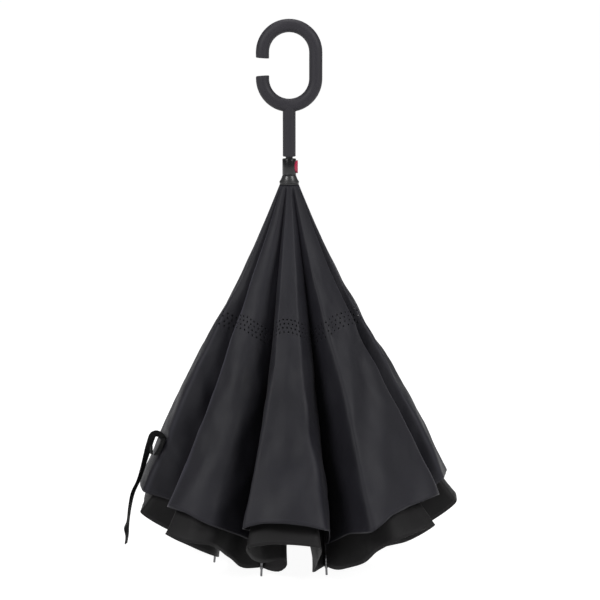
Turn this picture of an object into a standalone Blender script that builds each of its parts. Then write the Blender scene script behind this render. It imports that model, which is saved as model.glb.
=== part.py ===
"""Inverted umbrella, closed, standing on its eight rib tips with the C handle up.

Metres, +Z up. The shaft's axis is Z, and the floor under the rib tips is z = 0.
The mouth of the C handle faces -X, and the release button faces +X.
The runner carries the ribs and slides down the shaft to open the canopy.
The crown near the shaft's far end carries the stretchers, which push the ribs out.
"""

import math

import bmesh
import bpy
from mathutils import Matrix, Vector

# Clearances
FIT_GAP = 0.0003
RUNNING_GAP = 0.00035
OVERRUN = 0.004
MERGE = 0.00001

# C handle
GRIP_DIA = 0.0180
LOOP_WIDTH = 0.0934
LOOP_HEIGHT = 0.1305
UPPER_ARM = 0.0079
LOWER_ARM = 0.0039
STEM_DIA = 0.0179
STEM_LENGTH = 0.0636
SOCKET_DEPTH = 0.048
HANDLE_PIN_DIA = 0.002
HANDLE_PIN_LENGTH = 0.015
HANDLE_PIN_HEIGHT = 0.025

# Shaft
SHAFT_DIA = 0.0104
SHAFT_WALL = 0.0008
NECK = 0.0032

# Runner
COLLAR_DIA = 0.0198
COLLAR_HEIGHT = 0.0232
COLLAR_BEVEL = 0.0008
CAP_TOP_DIA = 0.0195
CAP_DIA = 0.0286
CAP_HEIGHT = 0.0100
CAP_LIP = 0.0006
CAP_RING_DIA = 0.0276
CAP_RING_HEIGHT = 0.0028

# Release button
BUTTON_HEIGHT = 0.0184
BUTTON_WIDTH = 0.0078
BUTTON_DEPTH = 0.0045
BUTTON_PROUD = 0.0026
BUTTON_TRAVEL = 0.0016
BUTTON_DOME = 0.0009
SPRING_LENGTH = 0.0120
SPRING_WIDTH = 0.0030
SPRING_LEAF = 0.0003

# Hubs: the runner's carries the ribs, the crown carries the stretchers
HUB_DIA = 0.0250
HUB_HEIGHT = 0.0128
HINGE_RADIUS = 0.0092
HINGE_PIN_DIA = 0.0014
NOTCH_WIDTH = 0.0036
NOTCH_FLOOR_RADIUS = 0.0068
FERRULE_LENGTH = 0.0200
FERRULE_TIP_DIA = 0.0110
SHAFT_TAIL = 0.0115

# Ribs and stretchers
RIB_COUNT = 8
FIRST_RIB_DEG = 26.0
RIB_DROP = 0.5405
RIB_ROOT_DEG = 18.0
RIB_END_DEG = 5.5
RIB_DIA = 0.0028
RIB_PIVOT_REACH = 0.240
OPEN_HUB_GAP = 0.030
OPEN_RIB_DEG = 96.0
STRETCHER_DIA = 0.0022
STRETCHER_SIDE_STEP = 0.0036
EYE_WIDTH = 0.0020
EYE_WALL = 0.0010
PIVOT_PIN_DIA = 0.0020
PIVOT_PIN_LENGTH = 0.0062

# Rib tips
TIP_ROD_DIA = 0.0032
TIP_ROD_LENGTH = 0.0100
TIP_SLEEVE_WALL = 0.0008
TIP_SLEEVE_LENGTH = 0.0180
TIP_TAPER = 0.0016

# Cloth
CLOTH = 0.0005
SEAM_GAP = 0.0010
RIB_TO_OUTER = 0.0030
RIB_TO_INNER = 0.0045
STRETCHER_TO_CROWN_GORE = 0.0040
LAYER_GAP = 0.0011
OUTER_TOP_RADIUS = 0.0135
OUTER_HEM_RADIUS = 0.2285
OUTER_HEM_AT_RIB = 0.045
OUTER_HEM_AT_CREST = 0.116
INNER_TOP_BELOW_PIVOT = 0.024
INNER_TOP_CREST_RADIUS = 0.080
INNER_HEM_RADIUS = 0.232
INNER_HEM_AT_RIB = 0.012
INNER_HEM_AT_CREST = 0.085
CROWN_GORE_RADIUS = 0.0134
CROWN_GORE_TUCK = 0.0075
CREST_SWAY_SHARE = 0.028

# The folds of one gore: share of the way from rib to rib, and share of the fold's depth
OUTER_FOLD_SHARES = (
    (0, 0), (0.08, 0.52), (0.16, 1), (0.32, 0.99), (0.5, 0.985),
    (0.68, 0.99), (0.84, 1), (0.92, 0.52), (1, 0),
)
INNER_FOLD_SHARES = (
    (0, 0), (0.045, 0), (0.12, 0.50), (0.20, 1), (0.35, 0.98), (0.5, 0.97),
    (0.65, 0.98), (0.80, 1), (0.88, 0.50), (0.955, 0), (1, 0),
)
OUTER_ROW_SHARES = (0, 0.05, 0.15, 0.28, 0.42, 0.57, 0.72, 0.87, 1)
INNER_ROW_SHARES = (0, 0.25, 0.5, 0.75, 1)
CROWN_ROW_SHARES = (0, 0.14, 0.5, 1)

# Tie strap: a ribbon tacked to a crease of the gore at the -X side, looped up once and hanging free
STRAP_GORE = 4
STRAP_CREASE_SHARE = 0.84
STRAP_WIDTH = 0.0070
STRAP_THICKNESS = 0.0008
# Each point: its distance out from the crease, its distance along towards the next rib, its height
STRAP_ROUTE = (
    (0.0009, 0.0006, 0.1920), (0.0099, 0.0012, 0.2020), (0.0118, -0.0064, 0.1880),
    (0.0075, -0.0128, 0.1640), (0.0040, -0.0177, 0.1435), (0.0021, -0.0226, 0.1230),
    (0.0041, -0.0258, 0.1022), (0.0074, -0.0276, 0.0826), (0.0095, -0.0284, 0.0630),
    (0.0111, -0.0292, 0.0434), (0.0116, -0.0296, 0.0267),
)
STRAP_STEPS = 2
KEEPER_STAND_OFF = 0.0040
KEEPER_AT = 0.1730
KEEPER_LENGTH = 0.0100
KEEPER_DEPTH = 0.0036
KEEPER_HEIGHT = 0.0070
KEEPER_WALL = 0.0008

# Facets
GRIP_RESOLUTION = 5
ROD_RESOLUTION = 1
ARC_STEPS = 12
RIB_STEPS = 12
ROUND_SIDES = 32
SMALL_SIDES = 12
SHARP_DEG = 35.0

# Worked out from the sizes above
GORE_ANGLE = math.tau / RIB_COUNT
ROOT_ANGLE = math.radians(RIB_ROOT_DEG)
END_ANGLE = math.radians(RIB_END_DEG)
OPEN_ANGLE = math.radians(OPEN_RIB_DEG)
RIB_BOW = RIB_DROP / (math.sin(ROOT_ANGLE) - math.sin(END_ANGLE))
PIVOT_TURN = 2 * math.asin(RIB_PIVOT_REACH / (2 * RIB_BOW))
PIVOT_ANGLE = ROOT_ANGLE - PIVOT_TURN / 2
PIVOT_RADIUS = HINGE_RADIUS + RIB_PIVOT_REACH * math.sin(PIVOT_ANGLE)
PIVOT_Z = RIB_DROP - RIB_PIVOT_REACH * math.cos(PIVOT_ANGLE)
STRETCHER_LENGTH = math.hypot(
    RIB_PIVOT_REACH * math.sin(OPEN_ANGLE), OPEN_HUB_GAP - RIB_PIVOT_REACH * math.cos(OPEN_ANGLE)
)
STRETCHER_RISE = math.sqrt(STRETCHER_LENGTH**2 - (PIVOT_RADIUS - HINGE_RADIUS) ** 2)
CROWN_Z = PIVOT_Z - STRETCHER_RISE
STRETCHER_ANGLE = math.atan2(PIVOT_RADIUS - HINGE_RADIUS, STRETCHER_RISE)
HUB_TOP_Z = RIB_DROP + HUB_HEIGHT / 2
RING_Z = HUB_TOP_Z + FIT_GAP
CAP_Z = RING_Z + CAP_RING_HEIGHT
COLLAR_Z = CAP_Z + CAP_HEIGHT + FIT_GAP
STEM_Z = COLLAR_Z + COLLAR_HEIGHT + NECK
LOOP_Z = STEM_Z + STEM_LENGTH
SHAFT_END_Z = CROWN_Z - SHAFT_TAIL
FERRULE_Z = CROWN_Z - HUB_HEIGHT / 2 - FIT_GAP
CLOTH_TOP_Z = HUB_TOP_Z - FIT_GAP


def clear_scene():
    for thing in list(bpy.data.objects):
        bpy.data.objects.remove(thing)


def finish_material(name, colour, roughness, metallic=0.0):
    made = bpy.data.materials.new(name)
    made.use_nodes = True
    shader = made.node_tree.nodes["Principled BSDF"]
    shader.inputs["Base Color"].default_value = (*colour, 1.0)
    shader.inputs["Roughness"].default_value = roughness
    shader.inputs["Metallic"].default_value = metallic
    made.diffuse_color = (*colour, 1.0)
    return made


def place(name, mesh, material):
    """Links a mesh as the named object, smooth except at its sharp edges."""
    mesh.shade_smooth()
    mesh.set_sharp_from_angle(angle=math.radians(SHARP_DEG))
    mesh.materials.clear()
    mesh.materials.append(material)
    thing = bpy.data.objects.new(name, mesh)
    bpy.context.scene.collection.objects.link(thing)
    return thing


def to_mesh(bm, name):
    bmesh.ops.remove_doubles(bm, verts=bm.verts, dist=MERGE)
    bmesh.ops.recalc_face_normals(bm, faces=bm.faces)
    mesh = bpy.data.meshes.new(name)
    bm.to_mesh(mesh)
    bm.free()
    return mesh


def evaluated_mesh(thing):
    graph = bpy.context.evaluated_depsgraph_get()
    return bpy.data.meshes.new_from_object(thing.evaluated_get(graph))


def combined(mesh, operation, *tools):
    """The mesh after a Boolean with each tool mesh in turn."""
    for tool_mesh in tools:
        body = bpy.data.objects.new("body", mesh)
        tool = bpy.data.objects.new("tool", tool_mesh)
        bpy.context.scene.collection.objects.link(body)
        bpy.context.scene.collection.objects.link(tool)
        step = body.modifiers.new("step", "BOOLEAN")
        step.operation = operation
        step.solver = "EXACT"
        step.object = tool
        mesh = evaluated_mesh(body)
        bpy.data.objects.remove(body)
        bpy.data.objects.remove(tool)
    return mesh


def turned(name, profile, sides):
    """A solid of revolution about Z. A profile that starts and ends on the axis is left open there."""
    bm = bmesh.new()
    points = [bm.verts.new((radius, 0, z)) for radius, z in profile]
    pairs = list(zip(points, points[1:]))
    if profile[0][0] or profile[-1][0]:
        pairs.append((points[-1], points[0]))
    edges = [bm.edges.new(pair) for pair in pairs]
    bmesh.ops.spin(
        bm, geom=points + edges, cent=(0, 0, 0), axis=(0, 0, 1), angle=math.tau, steps=sides, use_merge=True
    )
    return to_mesh(bm, name)


def rod(name, points, diameter, resolution=ROD_RESOLUTION):
    """A round rod along the points, with flat ends."""
    line = bpy.data.curves.new(name, "CURVE")
    line.dimensions = "3D"
    line.bevel_depth = diameter / 2
    line.bevel_resolution = resolution
    line.use_fill_caps = True
    path = line.splines.new("POLY")
    path.points.add(len(points) - 1)
    for knot, point in zip(path.points, points):
        knot.co = (*point, 1.0)
    thing = bpy.data.objects.new(name, line)
    bpy.context.scene.collection.objects.link(thing)
    mesh = evaluated_mesh(thing)
    bpy.data.objects.remove(thing)
    bm = bmesh.new()
    bm.from_mesh(mesh)
    return to_mesh(bm, name)


def cylinder(name, radius, length, centre, axis, sides=SMALL_SIDES, radius_b=None):
    """A bar centred on a point along an axis: round, or oval where radius_b gives its half width along Y."""
    bm = bmesh.new()
    bmesh.ops.create_cone(bm, cap_ends=True, segments=sides, radius1=1, radius2=1, depth=1)
    turns = {"X": Matrix.Rotation(math.pi / 2, 4, "Y"), "Y": Matrix.Rotation(-math.pi / 2, 4, "X"), "Z": Matrix()}
    turn = turns[axis]
    size = Matrix.Diagonal((radius, radius_b or radius, length, 1))
    bmesh.ops.transform(bm, matrix=Matrix.Translation(centre) @ turn @ size, verts=bm.verts)
    return to_mesh(bm, name)


def merged(name, meshes):
    """Several closed meshes as one, used as a tool for one Boolean."""
    bm = bmesh.new()
    for mesh in meshes:
        bm.from_mesh(mesh)
    return to_mesh(bm, name)


def rib_radius(z):
    """Distance from the shaft's axis to the middle of a rib at height z."""
    sine = math.sin(ROOT_ANGLE) - (RIB_DROP - z) / RIB_BOW
    return HINGE_RADIUS + RIB_BOW * (math.sqrt(1 - sine**2) - math.cos(ROOT_ANGLE))


def stretcher_radius(z):
    """Distance from the shaft's axis to the middle of a stretcher at height z."""
    return HINGE_RADIUS + (z - CROWN_Z) * math.tan(STRETCHER_ANGLE)


def rib_turn(index):
    return math.radians(FIRST_RIB_DEG) + GORE_ANGLE * index


def make_handle(material, steel):
    grip = GRIP_DIA / 2
    half = (LOOP_WIDTH - GRIP_DIA) / 2
    low = LOOP_Z + grip + half
    high = LOOP_Z + LOOP_HEIGHT - grip - half
    path = [(-half, 0, low + LOWER_ARM)]
    for step in range(ARC_STEPS + 1):
        angle = math.pi + math.pi * step / ARC_STEPS
        path.append((half * math.cos(angle), 0, low + half * math.sin(angle)))
    for step in range(ARC_STEPS + 1):
        angle = math.pi * step / ARC_STEPS
        path.append((half * math.cos(angle), 0, high + half * math.sin(angle)))
    path.append((-half, 0, high - UPPER_ARM))
    loop = rod("loop", path, GRIP_DIA, GRIP_RESOLUTION)
    stem_top = LOOP_Z + grip
    stem = cylinder(
        "stem", STEM_DIA / 2, stem_top - STEM_Z, (0, 0, (stem_top + STEM_Z) / 2), "Z", ROUND_SIDES
    )
    socket_top = STEM_Z + SOCKET_DEPTH
    socket_low = STEM_Z - OVERRUN
    socket = cylinder(
        "socket", SHAFT_DIA / 2 + FIT_GAP, socket_top - socket_low,
        (0, 0, (socket_top + socket_low) / 2), "Z", ROUND_SIDES,
    )
    pin_place = (0, 0, STEM_Z + HANDLE_PIN_HEIGHT)
    pin_hole = cylinder(
        "pin_hole", HANDLE_PIN_DIA / 2 + FIT_GAP, HANDLE_PIN_LENGTH + 2 * FIT_GAP, pin_place, "Y"
    )
    body = combined(loop, "UNION", stem)
    place("c_handle", combined(body, "DIFFERENCE", socket, pin_hole), material)
    place("handle_pin", cylinder("handle_pin", HANDLE_PIN_DIA / 2, HANDLE_PIN_LENGTH, pin_place, "Y"), steel)


def make_shaft(material):
    outer = SHAFT_DIA / 2
    inner = outer - SHAFT_WALL
    top = STEM_Z + SOCKET_DEPTH - FIT_GAP
    tube = turned(
        "shaft_tube", [(inner, SHAFT_END_Z), (outer, SHAFT_END_Z), (outer, top), (inner, top)], ROUND_SIDES
    )
    hole = cylinder(
        "hole", HANDLE_PIN_DIA / 2 + FIT_GAP, SHAFT_DIA + 2 * OVERRUN,
        (0, 0, STEM_Z + HANDLE_PIN_HEIGHT), "Y",
    )
    place("shaft_tube", combined(tube, "DIFFERENCE", hole), material)


def make_runner(gloss, red, steel):
    bore = SHAFT_DIA / 2 + RUNNING_GAP
    outer = COLLAR_DIA / 2
    top = COLLAR_Z + COLLAR_HEIGHT
    collar = turned(
        "runner_body",
        [
            (bore, COLLAR_Z), (outer, COLLAR_Z), (outer, top - COLLAR_BEVEL),
            (outer - COLLAR_BEVEL, top), (bore, top),
        ],
        ROUND_SIDES,
    )
    middle = COLLAR_Z + COLLAR_HEIGHT / 2
    face = outer + BUTTON_PROUD
    back = face - BUTTON_DEPTH
    floor = back - BUTTON_TRAVEL - FIT_GAP - SPRING_LEAF
    pocket = cylinder(
        "pocket", BUTTON_HEIGHT / 2 + FIT_GAP, face + OVERRUN - floor,
        ((face + OVERRUN + floor) / 2, 0, middle), "X", ROUND_SIDES, BUTTON_WIDTH / 2 + FIT_GAP,
    )
    place("runner_body", combined(collar, "DIFFERENCE", pocket), gloss)

    button = bmesh.new()
    button.from_mesh(
        cylinder(
            "button", BUTTON_HEIGHT / 2, BUTTON_DEPTH, ((face + back) / 2, 0, middle),
            "X", ROUND_SIDES, BUTTON_WIDTH / 2,
        )
    )
    button.faces.ensure_lookup_table()
    front = max(button.faces, key=lambda side: side.calc_center_median().x)
    bmesh.ops.inset_region(button, faces=[front], thickness=BUTTON_DOME, depth=0)
    for corner in front.verts:
        corner.co.x = face
    rim = {v for v in button.verts if v.co.x > back + MERGE} - set(front.verts)
    for corner in rim:
        corner.co.x = face - BUTTON_DOME
    place("release_button", to_mesh(button, "release_button"), red)

    leaf = bmesh.new()
    rows = []
    low_x = floor + FIT_GAP + SPRING_LEAF / 2
    high_x = back - FIT_GAP - SPRING_LEAF / 2
    for step in range(ARC_STEPS + 1):
        share = step / ARC_STEPS
        x = low_x + (high_x - low_x) * math.sin(math.pi * share)
        z = middle + SPRING_LENGTH * (share - 1 / 2)
        rows.append([leaf.verts.new((x, side * SPRING_WIDTH / 2, z)) for side in (-1, 1)])
    for one, two in zip(rows, rows[1:]):
        leaf.faces.new((one[0], one[1], two[1], two[0]))
    spring = place("button_spring", to_mesh(leaf, "button_spring"), steel)
    thicken(spring, SPRING_LEAF)

    cap_top = CAP_Z + CAP_HEIGHT
    cap = turned(
        "runner_cap",
        [
            (bore, RING_Z), (CAP_RING_DIA / 2, RING_Z), (CAP_RING_DIA / 2, CAP_Z - CAP_LIP),
            (CAP_DIA / 2, CAP_Z - CAP_LIP), (CAP_DIA / 2, CAP_Z + CAP_LIP),
            (CAP_TOP_DIA / 2, cap_top - CAP_LIP), (CAP_TOP_DIA / 2, cap_top), (bore, cap_top),
        ],
        ROUND_SIDES,
    )
    place("runner_cap", cap, gloss)


def hub_mesh(name, bore, z, side_step):
    """A notched ring centred at z. Each notch has a pin across it, on the hinge radius."""
    low = z - HUB_HEIGHT / 2
    high = z + HUB_HEIGHT / 2
    outer = HUB_DIA / 2
    ring = turned(name, [(bore, low), (outer, low), (outer, high), (bore, high)], ROUND_SIDES)
    notches = []
    pins = []
    reach = outer + OVERRUN - NOTCH_FLOOR_RADIUS
    pin_length = NOTCH_WIDTH + 2 * HINGE_PIN_DIA
    for index in range(RIB_COUNT):
        turn = Matrix.Rotation(rib_turn(index), 4, "Z")
        bm = bmesh.new()
        centre = Matrix.Translation((NOTCH_FLOOR_RADIUS + reach / 2, side_step, z))
        size = Matrix.Diagonal((reach, NOTCH_WIDTH, HUB_HEIGHT + 2 * OVERRUN, 1))
        bmesh.ops.create_cube(bm, size=1, matrix=turn @ centre @ size)
        notches.append(to_mesh(bm, "notch"))
        pin = cylinder("pin", HINGE_PIN_DIA / 2, pin_length, (HINGE_RADIUS, side_step, z), "Y")
        pin.transform(turn)
        pins.append(pin)
    ring = combined(ring, "DIFFERENCE", merged("notches", notches))
    return combined(ring, "UNION", merged("pins", pins))


def with_eyes(bar, eyes):
    """The bar with a flat disc at each eye and a hole through it. An eye is (centre, hole diameter)."""
    discs = []
    holes = []
    for centre, hole_dia in eyes:
        discs.append(cylinder("disc", hole_dia / 2 + EYE_WALL, EYE_WIDTH, centre, "Y"))
        holes.append(cylinder("hole", hole_dia / 2, EYE_WIDTH + 2 * OVERRUN, centre, "Y"))
    return combined(combined(bar, "UNION", *discs), "DIFFERENCE", *holes)


def rib_mesh():
    """A bowed rib in the XZ plane: its eye on the runner's hub, and the pin that the stretcher holds."""
    end_z = TIP_ROD_LENGTH + TIP_TAPER + 2 * FIT_GAP
    end = ROOT_ANGLE - math.asin(math.sin(ROOT_ANGLE) - (RIB_DROP - end_z) / RIB_BOW)
    path = []
    for step in range(RIB_STEPS + 1):
        angle = ROOT_ANGLE - end * step / RIB_STEPS
        z = RIB_DROP - RIB_BOW * (math.sin(ROOT_ANGLE) - math.sin(angle))
        path.append((HINGE_RADIUS + RIB_BOW * (math.cos(angle) - math.cos(ROOT_ANGLE)), 0, z))
    bar = with_eyes(rod("rib", path, RIB_DIA), [((HINGE_RADIUS, 0, RIB_DROP), HINGE_PIN_DIA + 2 * RUNNING_GAP)])
    pin = cylinder(
        "pin", PIVOT_PIN_DIA / 2, PIVOT_PIN_LENGTH, (PIVOT_RADIUS, PIVOT_PIN_LENGTH / 2, PIVOT_Z), "Y"
    )
    return combined(bar, "UNION", pin)


def stretcher_mesh():
    """A straight strut beside its rib: one eye on the crown's pin, the other round the rib's pin."""
    foot = (HINGE_RADIUS, STRETCHER_SIDE_STEP, CROWN_Z)
    head = (PIVOT_RADIUS, STRETCHER_SIDE_STEP, PIVOT_Z)
    bar = rod("stretcher", [foot, head], STRETCHER_DIA)
    eyes = [(foot, HINGE_PIN_DIA + 2 * RUNNING_GAP), (head, PIVOT_PIN_DIA + 2 * RUNNING_GAP)]
    return with_eyes(bar, eyes)


def tip_mesh():
    """A metal rib end: a sleeve over the rib and a thin rod whose foot is cut flat on the floor."""
    rod_radius = TIP_ROD_DIA / 2
    bore = RIB_DIA / 2 + FIT_GAP
    sleeve = bore + TIP_SLEEVE_WALL
    shoulder = TIP_ROD_LENGTH + TIP_TAPER
    top = shoulder + TIP_SLEEVE_LENGTH
    mesh = turned(
        "rib_tip",
        [
            (0, 0), (rod_radius, 0), (rod_radius, TIP_ROD_LENGTH), (sleeve, shoulder),
            (sleeve, top), (bore, top), (bore, shoulder), (0, shoulder),
        ],
        SMALL_SIDES,
    )
    lean = (rib_radius(shoulder) - rib_radius(top)) / TIP_SLEEVE_LENGTH
    foot_radius = rib_radius(shoulder) + lean * shoulder
    for corner in mesh.vertices:
        corner.co.x += foot_radius - corner.co.z * lean
    return mesh


def make_frame(steel, black, tip_metal):
    running = SHAFT_DIA / 2 + RUNNING_GAP
    fixed = SHAFT_DIA / 2 + FIT_GAP
    place("rib_hub", hub_mesh("rib_hub", running, RIB_DROP, 0), black)
    place("crown_hub", hub_mesh("crown_hub", fixed, CROWN_Z, STRETCHER_SIDE_STEP), black)
    wide = HUB_DIA / 2
    floor = SHAFT_END_Z - FIT_GAP
    bottom = FERRULE_Z - FERRULE_LENGTH
    ferrule = turned(
        "ferrule",
        [
            (0, bottom), (FERRULE_TIP_DIA / 2, bottom), (wide, FERRULE_Z - FERRULE_LENGTH / 4),
            (wide, FERRULE_Z), (fixed, FERRULE_Z), (fixed, floor), (0, floor),
        ],
        ROUND_SIDES,
    )
    place("ferrule", ferrule, black)
    shapes = (
        ("rib", rib_mesh(), black), ("stretcher", stretcher_mesh(), steel), ("rib_tip", tip_mesh(), tip_metal)
    )
    for name, mesh, material in shapes:
        for index in range(RIB_COUNT):
            piece = place(f"{name}_{index + 1}", mesh, material)
            piece.rotation_euler.z = rib_turn(index)


def thicken(thing, thickness):
    wall = thing.modifiers.new("thickness", "SOLIDIFY")
    wall.thickness = thickness
    wall.offset = 0


def cloth(name, rows, folds, index, material):
    """One gore as a folded sheet. A row is (radius, z) at the ribs, then (radius, z) at the fold's crest."""
    bm = bmesh.new()
    grid = []
    for rib_r, rib_z, crest_r, crest_z in rows:
        line = []
        for across, depth in folds:
            angle = rib_turn(index) + GORE_ANGLE * across
            radius = rib_r + (crest_r - rib_r) * depth
            outward = Vector((math.cos(angle), math.sin(angle), 0))
            sideways = Vector((-math.sin(angle), math.cos(angle), 0))
            seam = SEAM_GAP * (1 - 2 * across)
            z = rib_z + (crest_z - rib_z) * depth
            line.append(bm.verts.new(outward * radius + sideways * seam + Vector((0, 0, z))))
        grid.append(line)
    for upper, lower in zip(grid, grid[1:]):
        for left in range(len(upper) - 1):
            bm.faces.new((upper[left], lower[left], lower[left + 1], upper[left + 1]))
    sheet = place(name, to_mesh(bm, name), material)
    thicken(sheet, CLOTH)


def between(start, end, share):
    return start + (end - start) * share


def crest_radius(share):
    """Distance from the shaft's axis to the outer layer's crest, at a share of the way down to its hem."""
    return between(OUTER_TOP_RADIUS, OUTER_HEM_RADIUS, share - CREST_SWAY_SHARE * math.sin(math.tau * share))


def outer_rows():
    rows = []
    for share in OUTER_ROW_SHARES:
        rib_z = between(CLOTH_TOP_Z, OUTER_HEM_AT_RIB, share)
        crest_z = between(CLOTH_TOP_Z, OUTER_HEM_AT_CREST, share)
        rib_r = rib_radius(rib_z) + RIB_TO_OUTER if share else OUTER_TOP_RADIUS
        rows.append((rib_r, rib_z, crest_radius(share), crest_z))
    return rows


def inner_rows():
    top_z = PIVOT_Z - INNER_TOP_BELOW_PIVOT
    rows = []
    for share in INNER_ROW_SHARES:
        rib_z = between(top_z, INNER_HEM_AT_RIB, share)
        rib_r = rib_radius(rib_z) - RIB_TO_INNER
        if not share:
            rib_r = (rib_radius(top_z) + stretcher_radius(top_z) + LAYER_GAP) / 2
        crest_r = between(INNER_TOP_CREST_RADIUS, INNER_HEM_RADIUS, share)
        rows.append((rib_r, rib_z, crest_r, between(top_z, INNER_HEM_AT_CREST, share)))
    return rows


def crown_rows():
    top_z = PIVOT_Z - INNER_TOP_BELOW_PIVOT
    low_z = CROWN_Z - CROWN_GORE_TUCK
    top_crest = INNER_TOP_CREST_RADIUS - LAYER_GAP
    rows = []
    for share in CROWN_ROW_SHARES:
        z = between(low_z, top_z, share)
        rib_r = stretcher_radius(z) + STRETCHER_TO_CROWN_GORE if share else CROWN_GORE_RADIUS
        if share == 1:
            rib_r = (rib_radius(top_z) + stretcher_radius(top_z) - LAYER_GAP) / 2
        rows.append((rib_r, z, between(CROWN_GORE_RADIUS, top_crest, share), z))
    return rows


def make_canopy(fabric, lining):
    for index in range(RIB_COUNT):
        cloth(f"outer_gore_{index + 1}", outer_rows(), OUTER_FOLD_SHARES, index, fabric)
        cloth(f"inner_gore_{index + 1}", inner_rows(), INNER_FOLD_SHARES, index, lining)
        cloth(f"crown_gore_{index + 1}", crown_rows(), INNER_FOLD_SHARES, index, lining)


def smooth_route(points, steps):
    """Points along a Catmull-Rom curve through the route's own points."""
    ends = [points[0] * 2 - points[1]] + points + [points[-1] * 2 - points[-2]]
    curve = []
    for a, b, c, d in zip(ends, ends[1:], ends[2:], ends[3:]):
        for step in range(steps):
            t = step / steps
            curve.append(
                (b * 2 + (c - a) * t + (a * 2 - b * 5 + c * 4 - d) * t**2 + (b * 3 - a - c * 3 + d) * t**3) / 2
            )
    return curve + [points[-1]]


def make_strap(ribbon):
    crease = rib_turn(STRAP_GORE - 1) + GORE_ANGLE * STRAP_CREASE_SHARE
    outward = Vector((math.cos(crease), math.sin(crease), 0))
    along = Vector((-math.sin(crease), math.cos(crease), 0))

    def off_crease(stand_off, sideways, z):
        share = min((CLOTH_TOP_Z - z) / (CLOTH_TOP_Z - OUTER_HEM_AT_CREST), 1)
        return outward * (crest_radius(share) + stand_off) + along * sideways + Vector((0, 0, z))

    route = smooth_route([off_crease(*point) for point in STRAP_ROUTE], STRAP_STEPS)
    bm = bmesh.new()
    rows = []
    for point in route:
        sideways = Vector((-point.y, point.x, 0)).normalized() * STRAP_WIDTH / 2
        rows.append([bm.verts.new(point - sideways), bm.verts.new(point + sideways)])
    for one, two in zip(rows, rows[1:]):
        bm.faces.new((one[0], one[1], two[1], two[0]))
    strap = place("tie_strap", to_mesh(bm, "tie_strap"), ribbon)
    thicken(strap, STRAP_THICKNESS)

    low = -KEEPER_HEIGHT / 2
    high = KEEPER_HEIGHT / 2
    inside = KEEPER_LENGTH / 2 - KEEPER_WALL
    outside = KEEPER_LENGTH / 2
    keeper = turned(
        "strap_loop", [(inside, low), (outside, low), (outside, high), (inside, high)], SMALL_SIDES
    )
    keeper.transform(Matrix.Diagonal((1, KEEPER_DEPTH / KEEPER_LENGTH, 1, 1)))
    place_at = Matrix.Translation(off_crease(KEEPER_STAND_OFF, 0, KEEPER_AT))
    keeper.transform(place_at @ Matrix.Rotation(crease + math.pi / 2, 4, "Z"))
    place("strap_loop", keeper, ribbon)


def main():
    clear_scene()
    soft_grip = finish_material("soft_touch_grip", (0.048, 0.048, 0.052), 0.62)
    gloss = finish_material("gloss_black", (0.012, 0.012, 0.013), 0.12)
    red = finish_material("button_red", (0.55, 0.04, 0.10), 0.30)
    steel = finish_material("spring_steel", (0.45, 0.45, 0.46), 0.32, 1.0)
    black = finish_material("black_frame", (0.02, 0.02, 0.022), 0.38)
    shaft_black = finish_material("shaft_black", (0.02, 0.02, 0.022), 0.25, 0.6)
    tip_metal = finish_material("tip_metal", (0.55, 0.55, 0.56), 0.25, 1.0)
    fabric = finish_material("canopy_cloth", (0.028, 0.029, 0.033), 0.70)
    lining = finish_material("lining_cloth", (0.026, 0.025, 0.025), 0.75)
    ribbon = finish_material("strap_ribbon", (0.016, 0.016, 0.017), 0.65)
    make_handle(soft_grip, steel)
    make_shaft(shaft_black)
    make_runner(gloss, red, steel)
    make_frame(steel, black, tip_metal)
    make_canopy(fabric, lining)
    make_strap(ribbon)


main()
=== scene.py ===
import math
import bmesh
import bpy
from mathutils import Matrix, Vector, noise


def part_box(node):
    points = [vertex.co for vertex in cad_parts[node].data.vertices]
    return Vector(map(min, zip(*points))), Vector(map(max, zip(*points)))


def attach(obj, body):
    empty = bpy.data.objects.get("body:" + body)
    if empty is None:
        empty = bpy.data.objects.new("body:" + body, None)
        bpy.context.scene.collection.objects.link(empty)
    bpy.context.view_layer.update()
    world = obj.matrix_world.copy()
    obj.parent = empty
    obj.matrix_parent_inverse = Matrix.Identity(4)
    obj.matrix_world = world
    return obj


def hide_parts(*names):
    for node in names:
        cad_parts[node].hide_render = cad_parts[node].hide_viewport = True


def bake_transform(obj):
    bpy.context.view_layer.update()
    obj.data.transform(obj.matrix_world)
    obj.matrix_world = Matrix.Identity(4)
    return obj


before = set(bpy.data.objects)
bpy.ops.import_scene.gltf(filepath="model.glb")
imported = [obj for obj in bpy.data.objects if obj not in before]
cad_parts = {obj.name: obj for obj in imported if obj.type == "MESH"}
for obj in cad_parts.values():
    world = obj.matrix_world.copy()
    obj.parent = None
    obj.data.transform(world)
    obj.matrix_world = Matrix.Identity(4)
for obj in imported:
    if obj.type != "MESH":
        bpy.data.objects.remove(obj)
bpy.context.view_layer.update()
bpy.ops.object.select_all(action="DESELECT")

# Camera, at the photograph's height and distance
camera_data = bpy.data.cameras.new("camera")
camera_data.lens = 105.15
camera_data.sensor_width = 36
camera = bpy.data.objects.new("camera", camera_data)
camera.location = (0.0154, -2.5, 0.8184)
camera.rotation_euler = (math.radians(90 - 9.98), 0, 0)
bpy.context.scene.collection.objects.link(camera)
bpy.context.scene.camera = camera
bpy.context.scene.view_settings.view_transform = "Standard"

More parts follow.
